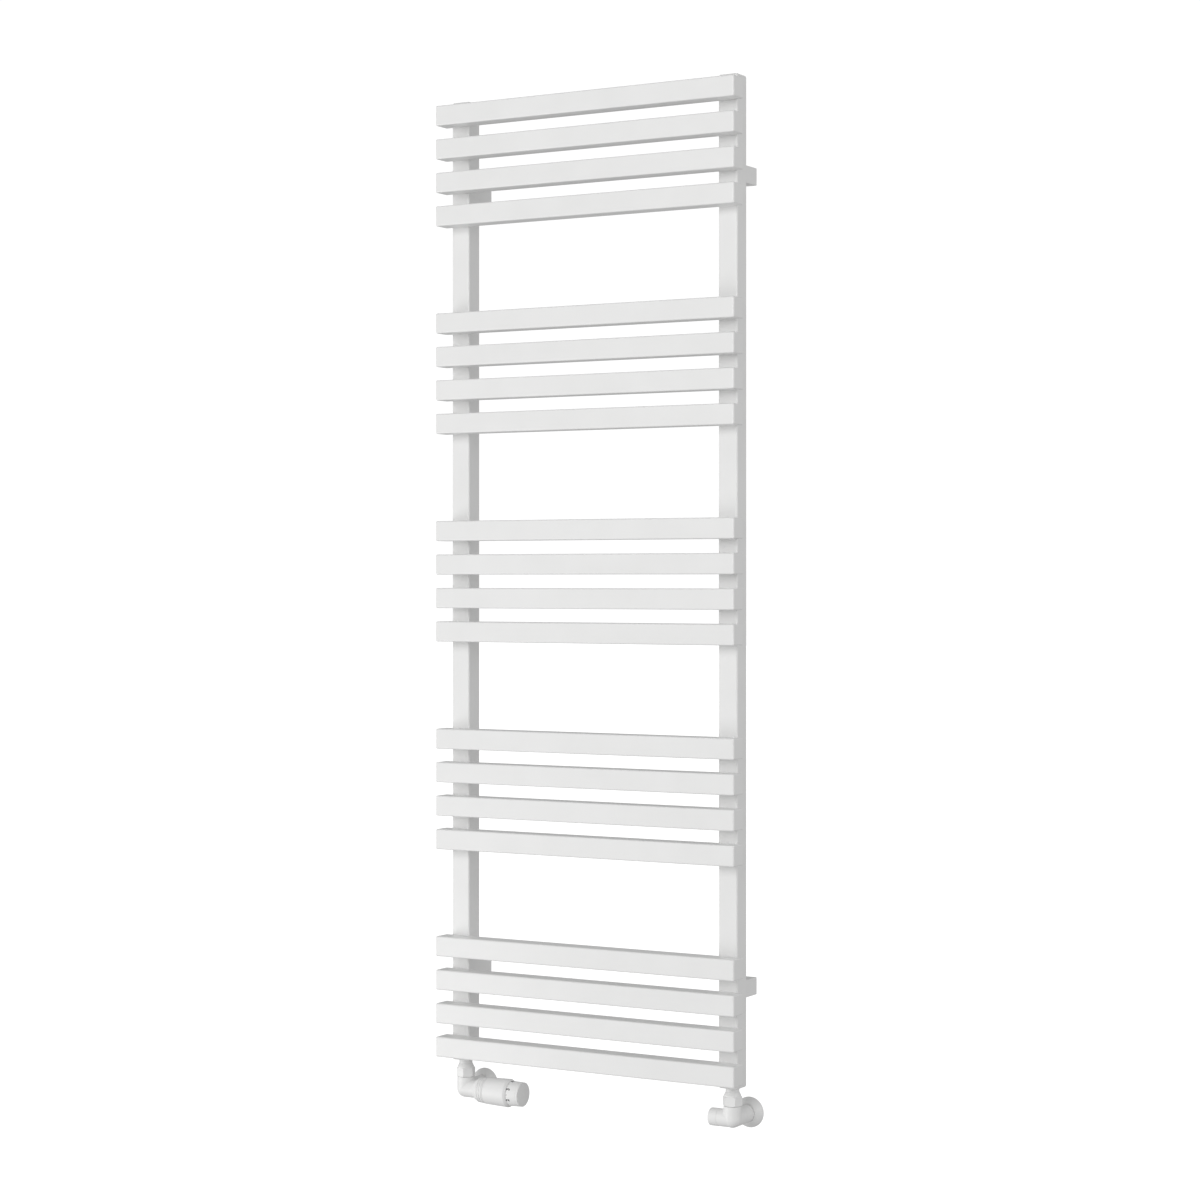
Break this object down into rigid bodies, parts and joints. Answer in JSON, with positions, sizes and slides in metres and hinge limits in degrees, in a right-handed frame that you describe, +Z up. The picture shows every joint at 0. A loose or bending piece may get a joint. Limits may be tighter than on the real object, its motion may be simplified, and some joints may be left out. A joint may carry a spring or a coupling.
{
  "type": "radiator with valve",
  "caption": "White ladder towel radiator of square tubes in groups, on wall brackets, with a thermostatic corner valve and a lockshield corner valve.",
  "frame": {"origin": "on the wall plane, halfway between the two upper brackets at their middle height", "axes": "+X to the right as seen from the room, +Y into the wall, +Z up"},
  "size_m": [0.5, 0.1, 1.502],
  "materials": {
    "white_paint": "white powder coat on steel, satin",
    "white_valve": "white lacquer on brass, satin",
    "white_plastic": "white moulded plastic, half gloss",
    "brass": "turned brass",
    "copper": "drawn copper tube",
    "steel": "plain steel",
    "sensor_metal": "drawn aluminium capsule"
  },
  "bodies": {
    "radiator": {"bar_01": "white_paint", "bar_02": "white_paint", "bar_03": "white_paint", "bar_04": "white_paint", "bar_05": "white_paint", "bar_06": "white_paint", "bar_07": "white_paint", "bar_08": "white_paint", "bar_09": "white_paint", "bar_10": "white_paint", "bar_11": "white_paint", "bar_12": "white_paint", "bar_13": "white_paint", "bar_14": "white_paint", "bar_15": "white_paint", "bar_16": "white_paint", "bar_17": "white_paint", "bar_18": "white_paint", "bar_19": "white_paint", "bar_20": "white_paint", "bracket_lower_left_block": "white_paint", "bracket_lower_left_grub_screw": "steel", "bracket_lower_right_block": "white_paint", "bracket_lower_right_grub_screw": "steel", "bracket_upper_left_block": "white_paint", "bracket_upper_left_grub_screw": "steel", "bracket_upper_right_block": "white_paint", "bracket_upper_right_grub_screw": "steel", "collector_left": "white_paint", "collector_right": "white_paint", "head_carrier": "white_plastic", "head_collar": "white_plastic", "head_sleeve": "white_plastic", "lock_body": "white_valve", "lock_olive": "brass", "lock_sleeve_nut": "white_valve", "lock_tail": "white_valve", "lock_union_nut": "white_valve", "return_pipe": "copper", "return_rosette": "white_valve", "supply_pipe": "copper", "supply_rosette": "white_valve", "trv_body": "white_valve", "trv_gland": "brass", "trv_insert": "brass", "trv_olive": "brass", "trv_sleeve_nut": "white_valve", "trv_spring": "steel", "trv_tail": "white_valve", "trv_union_nut": "white_valve", "vent_plug": "brass"},
    "dial": {"head_dial": "white_plastic", "head_cap": "white_plastic"},
    "sensor": {"head_sensor": "sensor_metal", "head_plunger": "brass", "trv_spindle": "steel"},
    "lock_cap": {"lock_cap": "white_plastic"},
    "lock_spindle": {"lock_spindle": "brass"},
    "lock_disc": {"lock_disc": "brass"},
    "vent_screw": {"vent_screw": "steel"}
  },
  "joints": [
    {"name": "dial_turn", "type": "hinge", "parent": "radiator", "child": "dial", "pos_m": [-0.225, -0.055, -1.342], "axis": [1, 0, 0], "range_deg": [-205.7, 102.9]},
    {"name": "sensor_travel", "type": "slide", "parent": "radiator", "child": "sensor", "axis": [1, 0, 0], "range_m": [-0.00129, 0.00065], "deforming": ["trv_spring"]},
    {"name": "lock_cap_pull", "type": "slide", "parent": "radiator", "child": "lock_cap", "axis": [-1, 0, 0], "range_m": [0, 0.03]},
    {"name": "lock_spindle_turn", "type": "hinge", "parent": "radiator", "child": "lock_spindle", "pos_m": [0.225, -0.055, -1.342], "axis": [-1, 0, 0], "range_deg": [-1080, 540]},
    {"name": "lock_disc_travel", "type": "slide", "parent": "radiator", "child": "lock_disc", "axis": [-1, 0, 0], "range_m": [-0.00302, 0.00152]},
    {"name": "vent_screw_turn", "type": "hinge", "parent": "radiator", "child": "vent_screw", "pos_m": [-0.225, -0.04, 0.065], "axis": [0, -1, 0], "range_deg": [0, 360]}
  ],
  "couplings": [
    {"joint": "dial_turn", "follows": "sensor_travel", "rad_per_m": 2777.8},
    {"joint": "lock_disc_travel", "follows": "lock_spindle_turn", "m_per_rad": 0.00015915}
  ]
}
